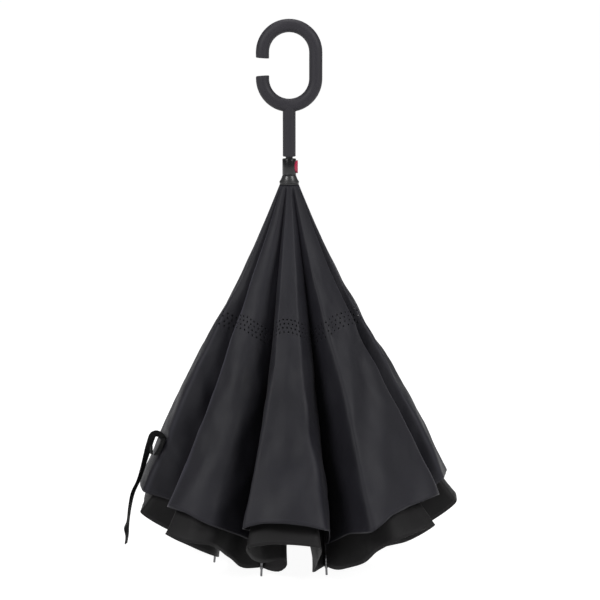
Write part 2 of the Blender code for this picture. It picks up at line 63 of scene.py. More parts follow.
# Sizes of the frame, the collar and the handle, in metres and radians
RIB_HINGE_Z = 0.5405
HINGE_RADIUS = 0.0092
ROOT_SINE = math.sin(math.radians(18))
ROOT_COSINE = math.cos(math.radians(18))
RIB_BOW = RIB_HINGE_Z / (ROOT_SINE - math.sin(math.radians(5.5)))
CLOTH_TOP_Z = 0.5466
OUTER_HEM_Z = 0.116
PIVOT_Z = 0.30899
INNER_TOP_Z = PIVOT_Z - 0.024
CROWN_Z = 0.072347
STRETCHER_SLOPE = math.tan(math.radians(14.98))
FIRST_RIB = math.radians(26)
GORE_TURN = math.radians(45)
COLLAR_Z = 0.5603
COLLAR_TOP_Z = 0.5835
COLLAR_MIDDLE = (COLLAR_Z + COLLAR_TOP_Z) / 2
STEM_Z = 0.5867
STEM_TOP_Z = 0.6620
STEM_RADIUS = 0.0092
GRIP_RADIUS = 0.0094
LOOP_HALF = 0.0377
LOOP_LOW_Z = 0.6970
LOOP_HIGH_Z = 0.7337
LOWER_ARM = 0.0039
UPPER_ARM = 0.0079
MOUTH_TURN = math.radians(4)
MOUTH_ROUNDING = 0.0012
NEAR = 0.00002
SMOOTH_ANGLE = math.radians(32)


def rib_angle(number):
    return FIRST_RIB + GORE_TURN * (number - 1)


def rib_radius(z):
    sine = ROOT_SINE - (RIB_HINGE_Z - z) / RIB_BOW
    return HINGE_RADIUS + RIB_BOW * (math.sqrt(1 - sine * sine) - ROOT_COSINE)


def stretcher_radius(z):
    return HINGE_RADIUS + (z - CROWN_Z) * STRETCHER_SLOPE


def between(start, end, share):
    return start + (end - start) * share


def soft_step(share):
    share = max(0, min(1, share))
    return share * share * (3 - 2 * share)


def choose(piece):
    """Makes this the only selected piece, and the active one."""
    bpy.ops.object.select_all(action="DESELECT")
    bpy.context.view_layer.objects.active = piece
    piece.select_set(True)


# Node groups
def new_group(name, inputs, outputs):
    group = bpy.data.node_groups.new(name, "ShaderNodeTree")
    for label, kind, value in inputs:
        socket = group.interface.new_socket(name=label, in_out="INPUT", socket_type=kind)
        socket.default_value = value
    for label, kind in outputs:
        group.interface.new_socket(name=label, in_out="OUTPUT", socket_type=kind)
    start = group.nodes.new("NodeGroupInput")
    end = group.nodes.new("NodeGroupOutput")
    return group, start, end


def feed(tree, socket, value):
    """Gives a socket a fixed value, or links it to another socket."""
    if isinstance(value, (int, float, tuple)):
        socket.default_value = value
    else:
        tree.links.new(value, socket)


def math_node(tree, operation, first, second=None):
    node = tree.nodes.new("ShaderNodeMath")
    node.operation = operation
    feed(tree, node.inputs[0], first)
    if second is not None:
        feed(tree, node.inputs[1], second)
    return node.outputs[0]


def noise_node(tree, vector, scale, detail, roughness):
    node = tree.nodes.new("ShaderNodeTexNoise")
    feed(tree, node.inputs["Vector"], vector)
    feed(tree, node.inputs["Scale"], scale)
    feed(tree, node.inputs["Detail"], detail)
    feed(tree, node.inputs["Roughness"], roughness)
    return node.outputs["Fac"]


def spread(tree, value, low, high, to_low, to_high):
    """Maps a value from one range to another."""
    node = tree.nodes.new("ShaderNodeMapRange")
    for place, amount in enumerate((value, low, high, to_low, to_high)):
        feed(tree, node.inputs[place], amount)
    return node.outputs[0]


def mixed(tree, share, first, second):
    """Two colours mixed by a share."""
    node = tree.nodes.new("ShaderNodeMix")
    node.data_type = "RGBA"
    for place, value in ((0, share), (6, first), (7, second)):
        feed(tree, node.inputs[place], value)
    return node.outputs[2]


def lightened(tree, colour, factor):
    """A colour times a factor."""
    node = tree.nodes.new("ShaderNodeVectorMath")
    node.operation = "SCALE"
    feed(tree, node.inputs[0], colour)
    feed(tree, node.inputs["Scale"], factor)
    return node.outputs[0]


EFFECT_OUTPUTS = [
    ("Colour", "NodeSocketColor"), ("Roughness", "NodeSocketFloat"), ("Height", "NodeSocketFloat"),
]
STITCH_HALF_WIDTH = 0.00035
STITCH_SPACING = 0.0026
STITCH_SHARE = 0.72
STITCH_LIGHT = 0.5
STITCH_HEIGHT = 3
# Gain of the painted highlight along the cloth's crease edges
CREASE_HIGHLIGHT_GAIN = 1.9
DUST_COLOUR = (0.32, 0.31, 0.30, 1)

# Plain weave in the cloth's own metres: threads over and under with painted shade on their relief, rub
# marks, a painted highlight along the crease edges, hem stitches
weave, start, end = new_group(
    "plain_weave",
    [
        ("Colour", "NodeSocketColor", (0.02, 0.02, 0.02, 1)), ("Thread pitch", "NodeSocketFloat", 0.0005),
        ("Roughness", "NodeSocketFloat", 0.6), ("Stitch line", "NodeSocketFloat", 0.0055),
    ],
    EFFECT_OUTPUTS,
)
coords = weave.nodes.new("ShaderNodeTexCoord")
split = weave.nodes.new("ShaderNodeSeparateXYZ")
weave.links.new(coords.outputs["UV"], split.inputs[0])
across = math_node(weave, "DIVIDE", split.outputs[0], start.outputs["Thread pitch"])
along = math_node(weave, "DIVIDE", split.outputs[1], start.outputs["Thread pitch"])
warp = math_node(weave, "SINE", math_node(weave, "MULTIPLY", across, math.tau))
weft = math_node(weave, "SINE", math_node(weave, "MULTIPLY", along, math.tau))
threads = math_node(weave, "MULTIPLY", warp, weft)
rub = noise_node(weave, coords.outputs["Object"], 22, 4, 0.6)
cloud = noise_node(weave, coords.outputs["Object"], 5, 2, 0.5)
stitch_near = math_node(
    weave, "ABSOLUTE", math_node(weave, "SUBTRACT", split.outputs[1], start.outputs["Stitch line"])
)
stitch_row = math_node(weave, "LESS_THAN", stitch_near, STITCH_HALF_WIDTH)
stitch_gap = math_node(weave, "FRACT", math_node(weave, "DIVIDE", split.outputs[0], STITCH_SPACING))
stitch = math_node(weave, "MULTIPLY", stitch_row, math_node(weave, "LESS_THAN", stitch_gap, STITCH_SHARE))
lift = spread(weave, cloud, 0.3, 0.7, 0.82, 1.18)
lift = math_node(weave, "MULTIPLY", lift, spread(weave, rub, 0.3, 0.7, 0.93, 1.07))
# Painted shade of the weave's relief: threads lighter where they rise and darker where they sink
lift = math_node(weave, "MULTIPLY", lift, spread(weave, threads, -1, 1, 0.92, 1.08))
lift = math_node(weave, "ADD", lift, math_node(weave, "MULTIPLY", stitch, STITCH_LIGHT))
# Painted highlight: the colour is lightened along the crease edges marked on the mesh
highlight_node = weave.nodes.new("ShaderNodeAttribute")
highlight_node.attribute_name = "painted_crease_highlight"
lift = math_node(weave, "ADD", lift, math_node(weave, "MULTIPLY", highlight_node.outputs["Fac"], CREASE_HIGHLIGHT_GAIN))
weave.links.new(lightened(weave, start.outputs["Colour"], lift), end.inputs["Colour"])
rubbed = math_node(weave, "ADD", start.outputs["Roughness"], spread(weave, rub, 0.3, 0.7, -0.05, 0.05))
weave.links.new(rubbed, end.inputs["Roughness"])
raised = math_node(weave, "ADD", threads, math_node(weave, "MULTIPLY", stitch, STITCH_HEIGHT))
weave.links.new(raised, end.inputs["Height"])

# Fine grain of a moulded or painted surface, with dust and handling marks
grain, start, end = new_group(
    "surface_grain",
    [
        ("Colour", "NodeSocketColor", (0.02, 0.02, 0.02, 1)), ("Grain scale", "NodeSocketFloat", 900.0),
        ("Roughness", "NodeSocketFloat", 0.5), ("Marks", "NodeSocketFloat", 0.06),
        ("Dust", "NodeSocketFloat", 0.05),
    ],
    EFFECT_OUTPUTS,
)
coords = grain.nodes.new("ShaderNodeTexCoord")
fine = noise_node(grain, coords.outputs["Object"], start.outputs["Grain scale"], 2, 0.6)
marks = noise_node(grain, coords.outputs["Object"], 60, 5, 0.65)
patches = noise_node(grain, coords.outputs["Object"], 14, 3, 0.5)
dusty = math_node(grain, "MULTIPLY", spread(grain, marks, 0.5, 0.8, 0, 1), start.outputs["Dust"])
tinted = mixed(grain, dusty, start.outputs["Colour"], DUST_COLOUR)
tone = spread(grain, patches, 0.3, 0.7, 0.9, 1.1)
tone = math_node(grain, "MULTIPLY", tone, spread(grain, fine, 0.3, 0.7, 0.94, 1.06))
grain.links.new(lightened(grain, tinted, tone), end.inputs["Colour"])
worn = math_node(grain, "MULTIPLY", spread(grain, marks, 0.35, 0.7, -1, 1), start.outputs["Marks"])
grain.links.new(math_node(grain, "ADD", start.outputs["Roughness"], worn), end.inputs["Roughness"])
grain.links.new(fine, end.inputs["Height"])


def finish_material(name, group, values, bump, distance, fixed):
    made = bpy.data.materials.new(name)
    made.use_nodes = True
    tree = made.node_tree
    shader = tree.nodes["Principled BSDF"]
    effect = tree.nodes.new("ShaderNodeGroup")
    effect.node_tree = group
    for label, value in values.items():
        effect.inputs[label].default_value = value
    tree.links.new(effect.outputs["Colour"], shader.inputs["Base Color"])
    tree.links.new(effect.outputs["Roughness"], shader.inputs["Roughness"])
    relief = tree.nodes.new("ShaderNodeBump")
    relief.inputs["Strength"].default_value = bump
    relief.inputs["Distance"].default_value = distance
    tree.links.new(effect.outputs["Height"], relief.inputs["Height"])
    tree.links.new(relief.outputs[0], shader.inputs["Normal"])
    for label, value in fixed.items():
        shader.inputs[label].default_value = value
    return made


canopy_cloth = finish_material(
    "canopy_cloth", weave,
    {"Colour": (0.0136, 0.0131, 0.0180, 1), "Thread pitch": 0.0006, "Roughness": 0.56},
    bump=0.25, distance=0.00008,
    fixed={"Specular IOR Level": 0.3, "Sheen Weight": 0.03, "Sheen Roughness": 0.4},
)
lining_cloth = finish_material(
    "lining_cloth", weave,
    {"Colour": (0.0130, 0.0124, 0.0130, 1), "Thread pitch": 0.0006, "Roughness": 0.64},
    bump=0.25, distance=0.00008,
    fixed={"Specular IOR Level": 0.25, "Sheen Weight": 0.02, "Sheen Roughness": 0.5},
)
strap_ribbon = finish_material(
    "strap_ribbon", weave,
    {
        "Colour": (0.0030, 0.0030, 0.0033, 1), "Thread pitch": 0.0007, "Roughness": 0.65,
        "Stitch line": 0.0007,
    },
    bump=0.4, distance=0.0001, fixed={"Specular IOR Level": 0.2},
)
soft_grip = finish_material(
    "soft_grip", grain,
    {
        "Colour": (0.0262, 0.0245, 0.0310, 1), "Grain scale": 1500, "Roughness": 0.58,
        "Marks": 0.05, "Dust": 0.03,
    },
    bump=0.12, distance=0.0001, fixed={"Specular IOR Level": 0.35},
)
gloss_black = finish_material(
    "gloss_black", grain,
    {"Colour": (0.010, 0.010, 0.011, 1), "Grain scale": 700, "Roughness": 0.24, "Marks": 0.05, "Dust": 0.02},
    bump=0.03, distance=0.00005, fixed={"Specular IOR Level": 0.5},
)
clamp_black = finish_material(
    "clamp_black", grain,
    {"Colour": (0.030, 0.030, 0.031, 1), "Grain scale": 700, "Roughness": 0.36, "Marks": 0.05, "Dust": 0.03},
    bump=0.03, distance=0.00005, fixed={"Specular IOR Level": 0.6},
)
button_red = finish_material(
    "button_red", grain,
    {"Colour": (0.56, 0.028, 0.085, 1), "Grain scale": 900, "Roughness": 0.3, "Marks": 0.05, "Dust": 0.02},
    bump=0.05, distance=0.00005, fixed={"Specular IOR Level": 0.5},
)
shaft_black = finish_material(
    "shaft_black", grain,
    {"Colour": (0.020, 0.020, 0.022, 1), "Grain scale": 900, "Roughness": 0.26, "Marks": 0.08, "Dust": 0.03},
    bump=0.05, distance=0.00005, fixed={"Metallic": 0.6},
)
black_frame = finish_material(
    "black_frame", grain,
    {"Colour": (0.018, 0.018, 0.020, 1), "Grain scale": 1100, "Roughness": 0.4, "Marks": 0.08, "Dust": 0.04},
    bump=0.08, distance=0.00006, fixed={"Specular IOR Level": 0.45},
)
spring_steel = finish_material(
    "spring_steel", grain,
    {"Colour": (0.46, 0.46, 0.47, 1), "Grain scale": 800, "Roughness": 0.32, "Marks": 0.1, "Dust": 0.04},
    bump=0.05, distance=0.00005, fixed={"Metallic": 1.0},
)
tip_metal = finish_material(
    "tip_metal", grain,
    {"Colour": (0.15, 0.15, 0.155, 1), "Grain scale": 800, "Roughness": 0.32, "Marks": 0.1, "Dust": 0.05},
    bump=0.05, distance=0.00005, fixed={"Metallic": 1.0},
)


# Cloth
CLOTH_THIN = 0.0004
HEM_THICK = 0.0010
LINING_HEM_THICK = 0.0007
CROWN_HEM_THICK = 0.0005
SEAM_OVERLAP = -0.0003
HOLE_RADIUS = 0.00102
FINE_STEPS = 400
STEPS_PER_FOLD = 30
LONG_FOLDS_ACROSS = 22
LONG_FOLDS_DOWN = 1.6
CRUMPLE_ACROSS = 38
CRUMPLE_DOWN = 17
SMALL_ACROSS = 110
SMALL_DOWN = 55


def place_sheet(name, grid, lengths, material, hem_rows, thin, thick, holes=(), levels=0, highlighted_columns=()):
    """A grid of points as a sheet with its own metres as UV, a doubled hem and real holes.

    The last argument lists the columns whose crease gets a painted highlight, each with its strength.
    """
    mesh = bpy.data.meshes.new(name)
    piece = bpy.data.objects.new(name, mesh)
    bpy.context.scene.collection.objects.link(piece)
    bm = bmesh.new()
    shape = bm.verts.layers.deform.verify()
    # Strength of the painted highlight along each crease column
    crease = bm.verts.layers.float.new("painted_crease_highlight")
    strengths = dict(highlighted_columns)
    uv = bm.loops.layers.uv.new("cloth")
    rows = []
    last = len(grid) - 1
    across = {}
    for row_number, row in enumerate(grid):
        line = []
        travelled = 0
        for column, point in enumerate(row):
            if column:
                travelled += (point - row[column - 1]).length
            corner = bm.verts.new(point)
            corner[shape][0] = 1 if last - row_number < hem_rows else 0
            corner[crease] = strengths.get(column, 0)
            across[corner] = (travelled, lengths[row_number])
            line.append(corner)
        for corner in line:
            across[corner] = (across[corner][0] - travelled / 2, across[corner][1])
        rows.append(line)
    for upper, lower in zip(rows, rows[1:]):
        for left in range(len(upper) - 1):
            face = bm.faces.new((upper[left], lower[left], lower[left + 1], upper[left + 1]))
            face.smooth = True
            for loop in face.loops:
                loop[uv].uv = across[loop.vert]
    chosen = [rows[row][column] for row, column in holes]
    if chosen:
        cut = bmesh.ops.bevel(
            bm, geom=chosen, offset=HOLE_RADIUS, offset_type="OFFSET", segments=2, affect="VERTICES",
        )
        bmesh.ops.delete(bm, geom=cut["faces"], context="FACES_ONLY")
        loose = [corner for corner in bm.verts if not corner.link_faces]
        bmesh.ops.delete(bm, geom=loose, context="VERTS")
    bm.to_mesh(mesh)
    bm.free()
    mesh.materials.append(material)
    piece.vertex_groups.new(name="hem")
    choose(piece)
    if levels:
        smooth = piece.modifiers.new("rounding", "SUBSURF")
        smooth.levels = levels
        smooth.render_levels = levels
        smooth.boundary_smooth = "PRESERVE_CORNERS"
        bpy.ops.object.modifier_apply(modifier="rounding")
    wall = piece.modifiers.new("thickness", "SOLIDIFY")
    wall.thickness = thick
    wall.offset = 0
    wall.vertex_group = "hem"
    wall.thickness_vertex_group = thin / thick
    bpy.ops.object.modifier_apply(modifier="thickness")
    piece.select_set(False)
    return piece


def folded_columns(folds, columns, hem_radii, rounding):
    """Evenly spaced columns along the folded hem, with the folds' corners rounded."""
    dense = []
    for first, second in zip(folds, folds[1:]):
        for step in range(STEPS_PER_FOLD):
            dense.append([between(a, b, step / STEPS_PER_FOLD) for a, b in zip(first, second)])
    dense.append(list(folds[-1]))
    places = []
    for row in dense:
        radius = between(hem_radii[0], hem_radii[1], row[2])
        turn = row[0] * GORE_TURN
        places.append(Vector((radius * math.cos(turn), radius * math.sin(turn))))
    reach = [0]
    for first, second in zip(places, places[1:]):
        reach.append(reach[-1] + (second - first).length)
    even = []
    passed = 0
    for step in range(FINE_STEPS + 1):
        goal = reach[-1] * step / FINE_STEPS
        while passed < len(reach) - 2 and reach[passed + 1] < goal:
            passed += 1
        gap = max(reach[passed + 1] - reach[passed], 1e-9)
        share = (goal - reach[passed]) / gap
        even.append([between(a, b, share) for a, b in zip(dense[passed], dense[passed + 1])])
    window = int(rounding / reach[-1] * FINE_STEPS)
    made = []
    for step in range(columns + 1):
        middle = round(step * FINE_STEPS / columns)
        span = min(window, middle, FINE_STEPS - middle)
        part = even[middle - span:middle + span + 1]
        made.append([sum(row[k] for row in part) / len(part) for k in range(len(folds[0]))])
    return made


def ruffle(grid, size, fade, seed):
    """Soft folds and small creases, pushed in and out along the cloth's own normal."""
    rows = len(grid) - 1
    columns = len(grid[0]) - 1
    pushed = []
    for r, row in enumerate(grid):
        line = []
        travelled = 0
        for c, point in enumerate(row):
            if c:
                travelled += (point - row[c - 1]).length
            up = grid[max(r - 1, 0)][c] - grid[min(r + 1, rows)][c]
            side = row[min(c + 1, columns)] - row[max(c - 1, 0)]
            normal = side.cross(up)
            if normal.length < 1e-12:
                line.append(point.copy())
                continue
            normal.normalize()
            edge = min(1, min(c, columns - c) / (columns * 0.12))
            share = r / rows
            long_fold = noise.noise(Vector((
                travelled * LONG_FOLDS_ACROSS + seed, share * LONG_FOLDS_DOWN, seed * 3.1,
            )))
            crumple = noise.noise(Vector((
                point.x * CRUMPLE_ACROSS + seed, point.y * CRUMPLE_ACROSS, point.z * CRUMPLE_DOWN,
            )))
            small = noise.noise(Vector((
                point.x * SMALL_ACROSS, point.y * SMALL_ACROSS + seed, point.z * SMALL_DOWN,
            )))
            push = size * (1.6 * long_fold + 0.75 * crumple + 0.16 * small) * fade(share) * edge
            line.append(point + normal * push)
        pushed.append(line)
    return pushed


# Outer layer. Two numbers come first: how far a gore's crests are drawn in half way down, and how far
# they reach at the hem. The gore's folds follow, from rib to rib. Each one is its share of the way at
# the hem, the same share half way up, its depth from the rib's line out to the crests', and the height
# of the hem there. The ends on the two ribs are the same for all gores.
RIB_HEM_Z = 0.045
OUTER_FOLDS = {
    1: ((0.04, 1.00), (
        (0.07, 0.07, 0.5, 0.085), (0.15, 0.15, 1, 0.117), (0.33, 0.33, 0.985, 0.113),
        (0.52, 0.52, 0.975, 0.112), (0.70, 0.70, 0.985, 0.114), (0.83, 0.83, 1, 0.116),
        (0.93, 0.93, 0.45, 0.082),
    )),
    2: ((0.05, 0.99), (
        (0.04, 0.05, 0.45, 0.08), (0.10, 0.13, 1, 0.112), (0.30, 0.31, 0.98, 0.110),
        (0.48, 0.48, 0.975, 0.113), (0.66, 0.66, 0.985, 0.113), (0.78, 0.78, 1, 0.110),
        (0.91, 0.91, 0.45, 0.08),
    )),
    3: ((0.04, 0.99), (
        (0.08, 0.08, 0.5, 0.085), (0.18, 0.18, 1, 0.118), (0.36, 0.36, 0.985, 0.115),
        (0.54, 0.54, 0.975, 0.112), (0.70, 0.70, 0.985, 0.113), (0.85, 0.85, 1, 0.115),
        (0.94, 0.94, 0.45, 0.08),
    )),
    4: ((0.032, 0.955), (
        (0.05, 0.05, 0.45, 0.08), (0.13, 0.13, 1, 0.113), (0.30, 0.30, 0.985, 0.111),
        (0.48, 0.48, 0.98, 0.110), (0.66, 0.66, 0.985, 0.110), (0.81, 0.82, 1, 0.110),
        (0.90, 0.91, 0.68, 0.100), (0.955, 0.955, 0.3, 0.082),
    )),
    5: ((0.100, 0.985), (
        (0.06, 0.07, 0.24, 0.07), (0.20, 0.20, 0.66, 0.098), (0.33, 0.33, 1, 0.1130),
        (0.45, 0.42, 0.995, 0.1125), (0.56, 0.52, 0.975, 0.1115), (0.66, 0.62, 0.92, 0.1040),
        (0.75, 0.70, 0.82, 0.0960), (0.83, 0.79, 0.62, 0.085), (0.90, 0.88, 0.40, 0.072),
        (0.95, 0.95, 0.18, 0.058),
    )),
    6: ((0.060, 1.00), (
        (0.03, 0.10, 0.5, 0.085), (0.065, 0.21, 1, 0.1050), (0.22, 0.30, 0.985, 0.1125),
        (0.40, 0.42, 0.985, 0.1125), (0.56, 0.52, 0.975, 0.109), (0.70, 0.61, 0.965, 0.102),
        (0.80, 0.76, 0.6, 0.088), (0.90, 0.89, 0.25, 0.062),
    )),
    7: ((0.014, 1.060), (
        (0.015, 0.05, 0.5, 0.08), (0.03, 0.10, 0.95, 0.0965), (0.24, 0.26, 0.93, 0.112),
        (0.45, 0.45, 0.93, 0.117), (0.64, 0.62, 0.96, 0.119), (0.82, 0.77, 1, 0.120),
        (0.90, 0.89, 0.5, 0.092),
    )),
    8: ((0.004, 1.026), (
        (0.06, 0.06, 0.5, 0.09), (0.13, 0.13, 1, 0.126), (0.30, 0.30, 0.985, 0.124),
        (0.50, 0.50, 0.98, 0.120), (0.66, 0.66, 0.985, 0.117), (0.80, 0.80, 1, 0.117),
        (0.91, 0.91, 0.45, 0.08),
    )),
}
# Creases whose edge gets a painted highlight: the share of the way from rib to rib at the hem, and the
# strength
HIGHLIGHTED_CREASES = {
    1: ((0.15, 0.4), (0.83, 0.4)), 2: ((0.10, 0.8), (0.78, 0.4)), 3: ((0.18, 0.4), (0.85, 0.8)),
    4: ((0.13, 0.6), (0.81, 0.35)), 5: ((0.33, 1), (0.352, 0.7)), 6: ((0.065, 0.2), (0.70, 0.1)),
    7: ((0.82, 1), (0.798, 0.7)), 8: ((0.13, 0.4), (0.80, 0.6)),
}
# Two creases that the tacked strap pulls in its gore, each from the tack to a far end as (x, z)
STRAP_GORE = 4
STRAP_TACK = (-0.1800, 0.1880)
PULLED_CREASES = ((-0.1540, 0.1880), (-0.1620, 0.1570))
PULL_DEPTH = 0.0024
PULL_WIDTH = 0.0042
OUTER_ROWS = 80
OUTER_COLUMNS = 48
OUTER_LENGTH = 0.47
OUTER_ROUNDING = 0.0058
OUTER_HEM_RADII = (0.125, 0.2285)
OUTER_RUFFLE = 0.0032
TOP_RADIUS = 0.0135
CREST_REACH = 0.215
CREST_SWELL = 0.028
RIB_COVER = 0.003
HOLE_ROWS = (33, 34, 35, 36)


def outer_crest(z, tuck, reach):
    share = (CLOTH_TOP_Z - z) / (CLOTH_TOP_Z - OUTER_HEM_Z)
    held = min(share, 1)
    radius = TOP_RADIUS + CREST_REACH * (share - CREST_SWELL * math.sin(math.tau * held))
    radius *= 1 - tuck * math.sin(math.pi * held ** 1.6)
    return radius * between(1, reach, soft_step((share - 0.3) / 0.7))


def outer_rib_line(z):
    return max(TOP_RADIUS, rib_radius(z) + RIB_COVER)


def spot(number, share, radius, z):
    """A place in a gore, at a share of the turn from its rib to the next. Neighbours overlap a little."""
    angle = rib_angle(number) + GORE_TURN * share
    sideways = SEAM_OVERLAP * (1 - 2 * share)
    return Vector((
        radius * math.cos(angle) - sideways * math.sin(angle),
        radius * math.sin(angle) + sideways * math.cos(angle), z,
    ))


def near_line(point, start, end):
    """How far a point is from a line between two places, as seen from the front."""
    here = Vector((point.x, point.z))
    first = Vector(start)
    run = Vector(end) - first
    share = max(0, min(1, (here - first).dot(run) / run.length_squared))
    return (here - first - run * share).length


def outer_gore(number):
    (tuck, reach), folds = OUTER_FOLDS[number]
    folds = ((0, 0, 0, RIB_HEM_Z), *folds, (1, 1, 0, RIB_HEM_Z))
    columns = folded_columns(folds, OUTER_COLUMNS, OUTER_HEM_RADII, OUTER_ROUNDING)
    grid = []
    for step in range(OUTER_ROWS + 1):
        share = step / OUTER_ROWS
        line = []
        for low_share, mid_share, depth, hem_z in columns:
            z = between(CLOTH_TOP_Z, hem_z, share)
            across = between(low_share, mid_share, soft_step((z - 0.10) / 0.24))
            radius = between(outer_rib_line(z), outer_crest(z, tuck, reach), depth)
            line.append(spot(number, across, radius, z))
        grid.append(line)
    grid = ruffle(grid, OUTER_RUFFLE, lambda s: soft_step(s * 2.2), number * 7.3)
    if number == STRAP_GORE:
        for line in grid:
            for point in line:
                for end in PULLED_CREASES:
                    away = near_line(point, STRAP_TACK, end)
                    pull = PULL_DEPTH * math.exp(-(away / PULL_WIDTH) ** 2)
                    if point.y < -0.02 and pull > NEAR:
                        point += Vector((-point.x, -point.y, 0)).normalized() * pull
    lengths = [between(OUTER_LENGTH, 0, step / OUTER_ROWS) for step in range(OUTER_ROWS + 1)]
    holes = []
    for place, row in enumerate(HOLE_ROWS):
        for column in range(2 + (place % 2), OUTER_COLUMNS - 1, 3):
            holes.append((row, column))
    # Columns nearest the listed creases, which get a painted highlight along their edge
    highlighted_columns = []
    for share, strength in HIGHLIGHTED_CREASES[number]:
        nearest = min(range(OUTER_COLUMNS + 1), key=lambda k: abs(columns[k][0] - share))
        highlighted_columns.append((nearest, strength))
    piece = place_sheet(
        f"outer_gore_cloth_{number}", grid, lengths, canopy_cloth, 2, CLOTH_THIN, HEM_THICK,
        holes=holes, levels=1, highlighted_columns=highlighted_columns,
    )
    return piece, grid


# Lining, which bulges beside each rib tip. Each fold is its share of the way at the hem, its share at
# the top, its depth, and the height of the hem there.
INNER_BACK_FOLDS = (
    (0, 0, 0, 0.012), (0.12, 0.05, 0.05, 0.012), (0.26, 0.12, 0.18, 0.022), (0.24, 0.16, 0.6, 0.050),
    (0.19, 0.20, 1, 0.084), (0.38, 0.38, 0.985, 0.082), (0.58, 0.56, 0.98, 0.083), (0.79, 0.79, 1, 0.084),
    (0.77, 0.84, 0.6, 0.050), (0.75, 0.88, 0.18, 0.022), (0.88, 0.95, 0.05, 0.012), (1, 1, 0, 0.012),
)
INNER_FOLDS = {
    1: INNER_BACK_FOLDS, 2: INNER_BACK_FOLDS, 3: INNER_BACK_FOLDS,
    4: (
        (0, 0, 0, 0.012), (0.10, 0.05, 0.05, 0.012), (0.22, 0.12, 0.20, 0.024), (0.20, 0.16, 0.6, 0.052),
        (0.16, 0.20, 0.89, 0.085), (0.35, 0.38, 0.895, 0.083), (0.58, 0.56, 0.91, 0.080),
        (0.80, 0.79, 0.955, 0.078), (0.85, 0.84, 0.7, 0.062), (0.88, 0.88, 0.35, 0.040),
        (0.93, 0.94, 0.1, 0.018), (1, 1, 0, 0.012),
    ),
    5: (
        (0, 0, 0, 0.012), (0.20, 0.06, 0.05, 0.014), (0.36, 0.14, 0.16, 0.022), (0.37, 0.20, 0.55, 0.050),
        (0.355, 0.30, 1, 0.0775), (0.47, 0.42, 0.98, 0.0745), (0.61, 0.55, 0.935, 0.072),
        (0.75, 0.69, 0.77, 0.068), (0.76, 0.78, 0.5, 0.050), (0.74, 0.85, 0.26, 0.030),
        (0.75, 0.91, 0.12, 0.0125), (0.87, 0.95, 0.03, 0.0105), (1, 1, 0, 0.012),
    ),
    6: (
        (0, 0, 0, 0.011), (0.18, 0.06, 0.03, 0.0085), (0.35, 0.10, 0.08, 0.012), (0.43, 0.12, 0.12, 0.026),
        (0.36, 0.14, 0.20, 0.034), (0.22, 0.15, 0.26, 0.034), (0.13, 0.16, 0.38, 0.037),
        (0.113, 0.18, 0.65, 0.053), (0.105, 0.21, 1, 0.079), (0.30, 0.34, 0.985, 0.0845),
        (0.50, 0.48, 0.98, 0.0835), (0.66, 0.60, 1, 0.080), (0.70, 0.70, 0.6, 0.052),
        (0.70, 0.80, 0.2, 0.020), (0.74, 0.88, 0.1, 0.009), (0.87, 0.94, 0.03, 0.0105), (1, 1, 0, 0.012),
    ),
    7: (
        (0, 0, 0, 0.012), (0.05, 0.06, 0.15, 0.012), (0.145, 0.12, 0.47, 0.033), (0.17, 0.17, 0.72, 0.057),
        (0.28, 0.26, 0.93, 0.073), (0.39, 0.38, 0.985, 0.078), (0.58, 0.56, 0.985, 0.0785),
        (0.73, 0.76, 1, 0.0786), (0.80, 0.83, 0.5, 0.043), (0.85, 0.89, 0.14, 0.023),
        (0.93, 0.95, 0.03, 0.012), (1, 1, 0, 0.012),
    ),
    8: (
        (0, 0, 0, 0.012), (0.08, 0.05, 0.05, 0.012), (0.20, 0.12, 0.2, 0.024), (0.20, 0.16, 0.6, 0.052),
        (0.16, 0.20, 1.14, 0.0905), (0.32, 0.36, 1.14, 0.094), (0.50, 0.52, 1.08, 0.090),
        (0.74, 0.78, 1, 0.084), (0.80, 0.84, 0.55, 0.046), (0.84, 0.90, 0.14, 0.018),
        (0.93, 0.95, 0.03, 0.012), (1, 1, 0, 0.012),
    ),
}
INNER_ROWS = 44
INNER_COLUMNS = 72
INNER_LENGTH = 0.30
INNER_ROUNDING = 0.008
INNER_HEM_RADII = (0.118, 0.232)
INNER_HEM_Z = 0.085
INNER_TOP_CREST = 0.080
INNER_RUFFLE = 0.0022
LINING_INSET = 0.0045
SEAM_RADIUS = (rib_radius(INNER_TOP_Z) + stretcher_radius(INNER_TOP_Z)) / 2
SEAM_GAP = 0.00055


def inner_gore(number):
    reach = min(OUTER_FOLDS[number][0][1], 1.02)
    hem_crest = INNER_HEM_RADII[1] * between(1, reach, 0.7)
    columns = folded_columns(INNER_FOLDS[number], INNER_COLUMNS, INNER_HEM_RADII, INNER_ROUNDING)
    grid = []
    for step in range(INNER_ROWS + 1):
        share = step / INNER_ROWS
        line = []
        for low_share, top_share, depth, hem_z in columns:
            z = between(INNER_TOP_Z, hem_z, share)
            across = between(top_share, low_share, soft_step(share * 1.3))
            rib_line = between(SEAM_RADIUS + SEAM_GAP, rib_radius(z) - LINING_INSET, soft_step(share * 4))
            drop = (INNER_TOP_Z - z) / (INNER_TOP_Z - INNER_HEM_Z)
            crest = between(INNER_TOP_CREST, hem_crest, drop)
            line.append(spot(number, across, between(rib_line, crest, depth), z))
        grid.append(line)
    grid = ruffle(grid, INNER_RUFFLE, lambda s: soft_step(s * 2.5), number * 5.1 + 60)
    lengths = [between(INNER_LENGTH, 0, step / INNER_ROWS) for step in range(INNER_ROWS + 1)]
    piece = place_sheet(
        f"inner_gore_cloth_{number}", grid, lengths, lining_cloth, 1, CLOTH_THIN, LINING_HEM_THICK
    )
    return piece, grid


